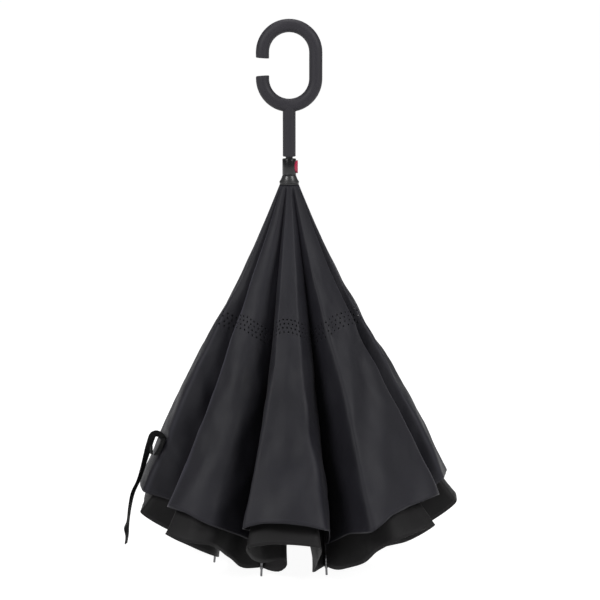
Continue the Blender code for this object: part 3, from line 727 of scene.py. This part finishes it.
# The lining's inner half, which laps over the other half at their seam and narrows to the crown.
# Each fold is its share of the way, the same share again, and its depth.
CROWN_LAP = 0.045
CROWN_FOLDS = (
    (0, 0, 0), (0.045, 0.045, 0), (0.12, 0.12, 0.5), (0.20, 0.20, 1), (0.35, 0.35, 0.98), (0.5, 0.5, 0.97),
    (0.65, 0.65, 0.98), (0.80, 0.80, 1), (0.88, 0.88, 0.5), (0.955, 0.955, 0), (1, 1, 0),
)
CROWN_ROWS = 36
CROWN_COLUMNS = 40
CROWN_LENGTH = 0.265
CROWN_ROUNDING = 0.004
CROWN_FOLD_RADII = (0.06, 0.079)
CROWN_TOP_CREST = 0.0789
CROWN_RADIUS = 0.0134
CROWN_LOW_Z = CROWN_Z - 0.0075
CROWN_RUFFLE = 0.0012
STRETCHER_COVER = 0.004


def crown_gore(number):
    columns = folded_columns(CROWN_FOLDS, CROWN_COLUMNS, CROWN_FOLD_RADII, CROWN_ROUNDING)
    grid = []
    for step in range(CROWN_ROWS + 1):
        line = []
        for across, _, depth in columns:
            top_z = INNER_TOP_Z + CROWN_LAP * soft_step(depth)
            z = between(top_z, CROWN_LOW_Z, step / CROWN_ROWS)
            share = (INNER_TOP_Z - z) / (INNER_TOP_Z - CROWN_LOW_Z)
            outside = stretcher_radius(z) + STRETCHER_COVER
            rib_line = between(SEAM_RADIUS - SEAM_GAP, outside, soft_step(share * 5))
            rib_line = between(rib_line, CROWN_RADIUS, soft_step((share - 0.85) / 0.15))
            crest = between(CROWN_TOP_CREST, CROWN_RADIUS, share)
            line.append(spot(number, across, between(rib_line, crest, depth), z))
        grid.append(line)
    grid = ruffle(grid, CROWN_RUFFLE, lambda s: math.sin(math.pi * s), number * 3.7 + 20)
    lengths = [between(CROWN_LENGTH, 0, step / CROWN_ROWS) for step in range(CROWN_ROWS + 1)]
    piece = place_sheet(
        f"crown_gore_cloth_{number}", grid, lengths, lining_cloth, 1, CLOTH_THIN, CROWN_HEM_THICK
    )
    return piece, grid


# Each gore's outer cloth, lining and crown piece, built in place of the imported one
for number in range(1, 9):
    following = number % 8 + 1
    for kind, make, bodies, hold in (
        ("outer_gore", outer_gore, ("rib_arm", "canopy"), [f"rib_{number}", f"rib_{following}"]),
        ("inner_gore", inner_gore, ("rib_arm", "canopy"), [f"rib_{number}", f"rib_{following}"]),
        ("crown_gore", crown_gore, ("strut", "cover"), [f"stretcher_{number}", f"stretcher_{following}"]),
    ):
        piece, grid = make(number)
        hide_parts(f"{kind}_{number}")
        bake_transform(piece)


# Steps of modelling by hand
def finish_editing():
    bpy.ops.object.mode_set(mode="OBJECT")


def edit(piece):
    choose(piece)
    bpy.ops.object.mode_set(mode="EDIT")
    bpy.ops.mesh.select_mode(type="VERT")


def named(name):
    piece = bpy.context.object
    piece.name = name
    piece.data.name = name
    return piece


def settle(piece):
    """Puts the piece's place, turn and size in its mesh."""
    choose(piece)
    bpy.ops.object.transform_apply(location=True, rotation=True, scale=True)


def pick(piece, kind, test):
    """Selects only the vertices, edges or faces that pass the test, and stays in edit mode."""
    bpy.ops.mesh.select_mode(type=kind)
    bpy.ops.mesh.select_all(action="DESELECT")
    bm = bmesh.from_edit_mesh(piece.data)
    rows = {"VERT": bm.verts, "EDGE": bm.edges, "FACE": bm.faces}[kind]
    for row in rows:
        if test(row):
            row.select_set(True)
    bm.select_flush_mode()
    bmesh.update_edit_mesh(piece.data)


def cut(piece, tool, operation):
    settle(piece)
    joined = piece.modifiers.new("cut", "BOOLEAN")
    joined.operation = operation
    joined.solver = "EXACT"
    joined.object = tool
    bpy.ops.object.modifier_apply(modifier="cut")
    bpy.data.objects.remove(tool)


def soften(piece, width, segments, angle=35):
    settle(piece)
    rounding = piece.modifiers.new("rounding", "BEVEL")
    rounding.width = width
    rounding.segments = segments
    rounding.limit_method = "ANGLE"
    rounding.angle_limit = math.radians(angle)
    bpy.ops.object.modifier_apply(modifier="rounding")
    bpy.ops.object.shade_smooth_by_angle(angle=SMOOTH_ANGLE)


def clean(piece):
    edit(piece)
    bpy.ops.mesh.select_all(action="SELECT")
    bpy.ops.mesh.remove_doubles(threshold=0.00001)
    bpy.ops.mesh.normals_make_consistent(inside=False)
    finish_editing()


def turned_piece(name, rings, sides, closed):
    """A round piece drawn up ring by ring. Each ring is (radius, height).

    A closed one comes back to its first ring.
    """
    radius, z = rings[0]
    bpy.ops.object.select_all(action="DESELECT")
    bpy.ops.mesh.primitive_circle_add(vertices=sides, radius=radius, fill_type="NOTHING", location=(0, 0, z))
    piece = named(name)
    settle(piece)
    edit(piece)
    bpy.ops.mesh.select_all(action="SELECT")
    for next_radius, next_z in rings[1:]:
        bpy.ops.mesh.extrude_region_move(TRANSFORM_OT_translate={"value": (0, 0, next_z - z)})
        size = next_radius / radius
        bpy.ops.transform.resize(value=(size, size, 1), center_override=(0, 0, next_z))
        radius, z = next_radius, next_z
    if not closed:
        bpy.ops.mesh.select_all(action="DESELECT")
        bpy.ops.mesh.select_mode(type="EDGE")
        bpy.ops.mesh.select_non_manifold()
        bpy.ops.mesh.edge_face_add()
        bpy.ops.mesh.select_all(action="DESELECT")
    finish_editing()
    clean(piece)
    return piece


def dress(piece, material, body, slot, *stood_for):
    piece.data.materials.clear()
    piece.data.materials.append(material)
    for face in piece.data.polygons:
        face.material_index = 0
    piece.select_set(False)
    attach(piece, body)
    if stood_for:
        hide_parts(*stood_for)


# Handle: an open C on a round stem
bpy.ops.object.select_all(action="DESELECT")
bpy.ops.mesh.primitive_circle_add(
    vertices=40, radius=GRIP_RADIUS, fill_type="NGON", location=(-LOOP_HALF, 0, LOOP_HIGH_Z - UPPER_ARM)
)
handle = named("open_c_handle")
settle(handle)
edit(handle)
bpy.ops.mesh.select_all(action="SELECT")
bpy.ops.mesh.extrude_region_move(TRANSFORM_OT_translate={"value": (0, 0, UPPER_ARM)})
bpy.ops.mesh.spin(steps=30, dupli=False, angle=math.pi, center=(0, 0, LOOP_HIGH_Z), axis=(0, -1, 0))
bpy.ops.mesh.extrude_region_move(TRANSFORM_OT_translate={"value": (0, 0, LOOP_LOW_Z - LOOP_HIGH_Z)})
bpy.ops.mesh.spin(steps=30, dupli=False, angle=math.pi, center=(0, 0, LOOP_LOW_Z), axis=(0, -1, 0))
bpy.ops.mesh.extrude_region_move(TRANSFORM_OT_translate={"value": (0, 0, LOWER_ARM)})
finish_editing()
clean(handle)
edit(handle)
mouth_low = LOOP_LOW_Z + LOWER_ARM
mouth_high = LOOP_HIGH_Z - UPPER_ARM
pick(handle, "EDGE", lambda e: e.calc_length() < 0.003 and all(
    v.co.x < 0 and min(abs(v.co.z - mouth_low), abs(v.co.z - mouth_high)) < NEAR for v in e.verts
))
bpy.ops.mesh.bevel(offset=MOUTH_ROUNDING, segments=4, affect="EDGES")
for height, turn in ((mouth_low, MOUTH_TURN), (mouth_high, -MOUTH_TURN)):
    pick(handle, "VERT", lambda v: v.co.x < 0 and abs(v.co.z - height) < MOUTH_ROUNDING + 0.0002)
    bpy.ops.transform.rotate(
        value=turn, orient_axis="Y", center_override=(-LOOP_HALF, 0, height)
    )
finish_editing()

bpy.ops.object.select_all(action="DESELECT")
bpy.ops.mesh.primitive_cylinder_add(
    vertices=56, radius=STEM_RADIUS, depth=STEM_TOP_Z - STEM_Z, location=(0, 0, (STEM_TOP_Z + STEM_Z) / 2)
)
stem = named("stem")
settle(stem)
edit(stem)
pick(stem, "EDGE", lambda e: all(abs(v.co.z - STEM_Z) < NEAR for v in e.verts))
bpy.ops.mesh.bevel(offset=0.0010, segments=4, affect="EDGES")
finish_editing()
bpy.ops.object.select_all(action="DESELECT")
bpy.ops.mesh.primitive_cylinder_add(vertices=40, radius=0.0056, depth=0.052, location=(0, 0, STEM_Z + 0.022))
socket = named("socket")
settle(socket)
cut(stem, socket, "DIFFERENCE")
cut(handle, stem, "UNION")
bpy.ops.object.shade_smooth_by_angle(angle=SMOOTH_ANGLE)
dress(handle, soft_grip, "shaft", "soft_grip", "c_handle")

# Collar with its pocket, and the leaf-shaped button in it
collar = turned_piece(
    "sliding_collar",
    (
        (0.00555, COLLAR_Z + 0.0003), (0.0058, COLLAR_Z), (0.0096, COLLAR_Z), (0.0099, COLLAR_Z + 0.0003),
        (0.0099, COLLAR_Z + 0.0016), (0.00975, COLLAR_Z + 0.0018), (0.0099, COLLAR_Z + 0.0020),
        (0.0099, COLLAR_TOP_Z - 0.0009), (0.00965, COLLAR_TOP_Z - 0.0003), (0.0091, COLLAR_TOP_Z),
        (0.0059, COLLAR_TOP_Z), (0.00555, COLLAR_TOP_Z - 0.0003), (0.00555, COLLAR_Z + 0.0003),
    ),
    sides=72, closed=True,
)


def leaf_block(name, half_length, half_width, back, front):
    """A leaf-shaped block that points along X, at the collar's middle."""
    bpy.ops.object.select_all(action="DESELECT")
    bpy.ops.mesh.primitive_cylinder_add(
        vertices=64, radius=half_length, depth=front - back, location=((front + back) / 2, 0, COLLAR_MIDDLE)
    )
    block = named(name)
    block.rotation_euler.y = math.radians(90)
    block.scale = (1, half_width / half_length, 1)
    settle(block)
    return block


def upright_rod(name, radius, x):
    bpy.ops.object.select_all(action="DESELECT")
    bpy.ops.mesh.primitive_cylinder_add(
        vertices=96, radius=radius, depth=0.04, location=(x, 0, COLLAR_MIDDLE)
    )
    rod = named(name)
    settle(rod)
    return rod


pocket = leaf_block("pocket", half_length=0.0095, half_width=0.0063, back=0.0020, front=0.0150)
cut(pocket, upright_rod("pocket_floor", radius=0.0060, x=0), "DIFFERENCE")
cut(collar, pocket, "DIFFERENCE")
soften(collar, width=0.00015, segments=2)
dress(collar, gloss_black, "runner", "gloss_black", "runner_body")

button = leaf_block("leaf_button", half_length=0.0092, half_width=0.0060, back=0.0040, front=0.0150)
cut(button, upright_rod("button_face", radius=0.0086, x=0.0039), "INTERSECT")
cut(button, upright_rod("button_back", radius=0.0080, x=0), "DIFFERENCE")
soften(button, width=0.0004, segments=3, angle=25)
dress(button, button_red, "button", "button_red", "release_button")

# Cone that clamps the top of the cloth, with its ring
cap = turned_piece(
    "clamping_cone",
    (
        (0.00555, 0.5474), (0.0058, 0.5472), (0.0133, 0.5472), (0.0137, 0.5476), (0.0137, 0.5490),
        (0.0132, 0.5493), (0.0132, 0.5495), (0.0143, 0.5497), (0.0143, 0.5504), (0.0138, 0.5511),
        (0.0124, 0.5533), (0.0112, 0.5558), (0.01035, 0.5580), (0.0100, 0.5593), (0.0095, 0.5599),
        (0.0059, 0.5600), (0.00555, 0.5597), (0.00555, 0.5474),
    ),
    sides=80, closed=True,
)
soften(cap, width=0.00015, segments=2)
dress(cap, clamp_black, "runner", "gloss_black", "runner_cap")

# Rib tips: a thin rod from a crimped sleeve, copied to each rib
SHOULDER = 0.0116
SLEEVE_LENGTH = 0.018
SLEEVE_TOP = SHOULDER + SLEEVE_LENGTH
tip = turned_piece(
    "tip_pattern",
    (
        (0.0007, 0.0), (0.0013, 0.0002), (0.0016, 0.0007), (0.0016, 0.0096), (0.0018, 0.0101),
        (0.0024, 0.0113), (0.0025, 0.0118), (0.0025, 0.0146), (0.0021, 0.0150), (0.0021, 0.0158),
        (0.0025, 0.0162), (0.0025, 0.0196), (0.0021, 0.0200), (0.0021, 0.0208), (0.0025, 0.0212),
        (0.0025, SLEEVE_TOP - 0.0003), (0.0023, SLEEVE_TOP), (0.00175, SLEEVE_TOP),
        (0.0017, SLEEVE_TOP - 0.0003), (0.0017, SHOULDER + 0.0004),
    ),
    sides=24, closed=False,
)
lean = (rib_radius(SHOULDER) - rib_radius(SLEEVE_TOP)) / SLEEVE_LENGTH
foot_radius = rib_radius(SHOULDER) + lean * SHOULDER
for corner in tip.data.vertices:
    corner.co.x += foot_radius - corner.co.z * lean
settle(tip)
bpy.ops.object.shade_smooth_by_angle(angle=SMOOTH_ANGLE)
tip.data.materials.append(tip_metal)
for number in range(1, 9):
    copy = bpy.data.objects.new(f"rib_end_{number}", tip.data.copy())
    copy.data.transform(Matrix.Rotation(rib_angle(number), 4, "Z"))
    bpy.context.scene.collection.objects.link(copy)
    dress(copy, tip_metal, f"rib_arm_{number}", "tip_metal", f"rib_tip_{number}")
bpy.data.objects.remove(tip)


# Tie strap: a ribbon tacked to the crease, looped up once and hanging free, with its short end
def smooth_route(points, steps):
    """A smooth curve through all the points, with steps from each to the next."""
    ends = [points[0] * 2 - points[1]] + points + [points[-1] * 2 - points[-2]]
    curve = []
    for a, b, c, d in zip(ends, ends[1:], ends[2:], ends[3:]):
        for step in range(steps):
            t = step / steps
            straight = b * 2 + (c - a) * t
            bend = (a * 2 - b * 5 + c * 4 - d) * t ** 2
            turn = (b * 3 - a - c * 3 + d) * t ** 3
            curve.append((straight + bend + turn) / 2)
    return curve + [points[-1]]


STRAP_WIDTH = 0.0102
STRAP_STEPS = 6
STRAP_STRANDS = 6
STRAP_THIN = 0.00055
STRAP_THICK = 0.0006


def ribbon_grid(stations):
    """Rows across a ribbon. Each station is a place, and which way the ribbon's width points there."""
    places = smooth_route([Vector(row[0]) for row in stations], STRAP_STEPS)
    sides = smooth_route([Vector(row[1]).normalized() for row in stations], STRAP_STEPS)
    grid = []
    for place, side in zip(places, sides):
        side = side.normalized()
        grid.append([
            place + side * STRAP_WIDTH * (k / STRAP_STRANDS - 0.5) for k in range(STRAP_STRANDS + 1)
        ])
    return grid


def hang_ribbon(name, stations, *stood_for):
    grid = ribbon_grid(stations)
    middle = STRAP_STRANDS // 2
    lengths = [0]
    for first, second in zip(grid, grid[1:]):
        lengths.append(lengths[-1] + (second[middle] - first[middle]).length)
    piece = place_sheet(name, grid, lengths, strap_ribbon, 0, STRAP_THIN, STRAP_THICK)
    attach(piece, "canopy_4")
    if stood_for:
        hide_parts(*stood_for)


hang_ribbon(
    "hanging_strap",
    (
        ((-0.1800, -0.0500, 0.1830), (1, -0.25, 0)),
        ((-0.1836, -0.0515, 0.1884), (0.97, -0.2, 0.25)),
        ((-0.1873, -0.0525, 0.1918), (0.6, -0.25, 0.75)),
        ((-0.1915, -0.0535, 0.1933), (0, -0.3, 1)),
        ((-0.1958, -0.0535, 0.1912), (-0.65, -0.25, 0.75)),
        ((-0.1984, -0.0530, 0.1856), (-0.97, -0.2, 0.15)),
        ((-0.2021, -0.0525, 0.1744), (-0.9, -0.4, 0.2)),
        ((-0.2053, -0.0520, 0.1638), (-0.8, -0.58, 0.2)),
        ((-0.2111, -0.0515, 0.1436), (-0.6, -0.78, 0.15)),
        ((-0.2177, -0.0510, 0.1233), (-0.52, -0.84, 0.12)),
        ((-0.2262, -0.0505, 0.1048), (-0.5, -0.85, 0.2)),
        ((-0.2309, -0.0500, 0.0845), (-0.4, -0.91, 0.1)),
        ((-0.2340, -0.0500, 0.0630), (-0.32, -0.94, 0.05)),
        ((-0.2366, -0.0500, 0.0514), (-0.62, -0.76, 0.1)),
        ((-0.2360, -0.0500, 0.0398), (-0.36, -0.93, 0)),
        ((-0.2378, -0.0500, 0.0272), (-0.26, -0.96, 0.05)),
    ),
    "tie_strap",
)
hang_ribbon(
    "strap_short_end",
    (
        ((-0.1812, -0.0535, 0.1868), (0.6, -0.8, 0.1)),
        ((-0.1826, -0.0575, 0.1800), (0.6, -0.8, 0.1)),
        ((-0.1865, -0.0580, 0.1711), (0.7, -0.7, 0.2)),
        ((-0.1921, -0.0530, 0.1609), (0.8, -0.6, 0.2)),
    ),
)

# Keeper: the fold of ribbon that the strap passes through, a flat ring that stands on the crease
KEEPER_STEPS = 32
KEEPER_CREASE = rib_angle(STRAP_GORE) + GORE_TURN * 0.84
KEEPER_LIFTS = (0.0060, 0.0020, -0.0020, -0.0060)
KEEPER_HALF_WIDTH = 0.0045
KEEPER_HALF_DEPTH = 0.0014


def flattened(value, power):
    """Raises a value's size to a power and keeps its sign, so that a ring gets flatter sides."""
    return math.copysign(abs(value) ** power, value)


centre = (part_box("strap_loop")[0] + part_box("strap_loop")[1]) / 2
along = Vector((-math.sin(KEEPER_CREASE), math.cos(KEEPER_CREASE), 0))
outward = Vector((math.cos(KEEPER_CREASE), math.sin(KEEPER_CREASE), 0))
keeper_ring = []
for step in range(KEEPER_STEPS + 1):
    turn = math.tau * step / KEEPER_STEPS
    across = flattened(math.cos(turn), 0.7) * KEEPER_HALF_WIDTH
    out = flattened(math.sin(turn), 0.8) * KEEPER_HALF_DEPTH
    keeper_ring.append(centre + along * across + outward * out)
keeper_grid = [[corner + Vector((0, 0, lift)) for corner in keeper_ring] for lift in KEEPER_LIFTS]
keeper_lengths = [lift - KEEPER_LIFTS[-1] for lift in KEEPER_LIFTS]
keeper = place_sheet(
    "strap_keeper", keeper_grid, keeper_lengths, strap_ribbon, 0, STRAP_THICK, STRAP_THICK
)
clean(keeper)
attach(keeper, "canopy_4")
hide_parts("strap_loop")


# Finishes of the pieces that keep their own shape
KEPT_FINISHES = {
    "handle_pin": spring_steel, "button_spring": spring_steel, "shaft_tube": shaft_black,
    "rib_hub": black_frame, "crown_hub": black_frame, "ferrule": black_frame, "rib": black_frame,
    "stretcher": spring_steel, "c_handle": soft_grip, "runner_body": gloss_black,
    "runner_cap": gloss_black, "release_button": button_red, "rib_tip": tip_metal,
    "tie_strap": strap_ribbon, "strap_loop": strap_ribbon, "outer_gore": canopy_cloth,
    "inner_gore": lining_cloth, "crown_gore": lining_cloth,
}
for name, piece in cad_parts.items():
    kind = name if name in KEPT_FINISHES else name.rsplit("_", 1)[0]
    if kind in KEPT_FINISHES:
        for slot in piece.material_slots:
            slot.material = KEPT_FINISHES[kind]

# Floor, backdrop and light
FLOOR_GLOW = 0.95
ROOM_LIGHT = 0.17
LIGHT_AIM = (0, 0, 0.35)
bpy.ops.object.select_all(action="DESELECT")
bpy.ops.mesh.primitive_plane_add(size=400, location=(0, 0, 0))
floor = bpy.context.object
floor.name = "studio_floor"
pale = bpy.data.materials.new("pale_floor")
pale.use_nodes = True
tree = pale.node_tree
shader = tree.nodes["Principled BSDF"]
shader.inputs["Base Color"].default_value = (0.38, 0.38, 0.38, 1)
shader.inputs["Roughness"].default_value = 0.9
shader.inputs["Specular IOR Level"].default_value = 0
shader.inputs["Emission Color"].default_value = (1, 1, 1, 1)
path = tree.nodes.new("ShaderNodeLightPath")
seen = math_node(tree, "MAXIMUM", path.outputs["Is Camera Ray"], path.outputs["Is Glossy Ray"])
seen = math_node(tree, "MAXIMUM", seen, path.outputs["Is Transmission Ray"])
tree.links.new(math_node(tree, "MULTIPLY", seen, FLOOR_GLOW), shader.inputs["Emission Strength"])
facing = tree.nodes.new("ShaderNodeNewGeometry")
clear = tree.nodes.new("ShaderNodeBsdfTransparent")
chosen = tree.nodes.new("ShaderNodeMixShader")
tree.links.new(facing.outputs["Backfacing"], chosen.inputs[0])
tree.links.new(shader.outputs[0], chosen.inputs[1])
tree.links.new(clear.outputs[0], chosen.inputs[2])
tree.links.new(chosen.outputs[0], tree.nodes["Material Output"].inputs["Surface"])
floor.data.materials.append(pale)

world = bpy.data.worlds.new("studio")
bpy.context.scene.world = world
world.use_nodes = True
tree = world.node_tree
background = tree.nodes["Background"]
path = tree.nodes.new("ShaderNodeLightPath")
seen = math_node(tree, "MAXIMUM", path.outputs["Is Camera Ray"], path.outputs["Is Transmission Ray"])
tree.links.new(spread(tree, seen, 0, 1, ROOM_LIGHT, 1.0), background.inputs["Strength"])
background.inputs["Color"].default_value = (1, 1, 1, 1)


def soft_light(name, location, aim, size, power):
    lamp = bpy.data.lights.new(name, "AREA")
    lamp.size = size
    lamp.energy = power
    thing = bpy.data.objects.new(name, lamp)
    thing.location = location
    thing.rotation_euler = (Vector(aim) - Vector(location)).to_track_quat("-Z", "Y").to_euler()
    bpy.context.scene.collection.objects.link(thing)


soft_light("left_light", (-1.40, -1.45, 1.75), LIGHT_AIM, size=0.9, power=27)
soft_light("right_light", (1.60, -1.15, 1.65), LIGHT_AIM, size=0.9, power=24)
soft_light("top_light", (0, 0.5, 3.0), (0, 0, 0.3), size=1.6, power=26)
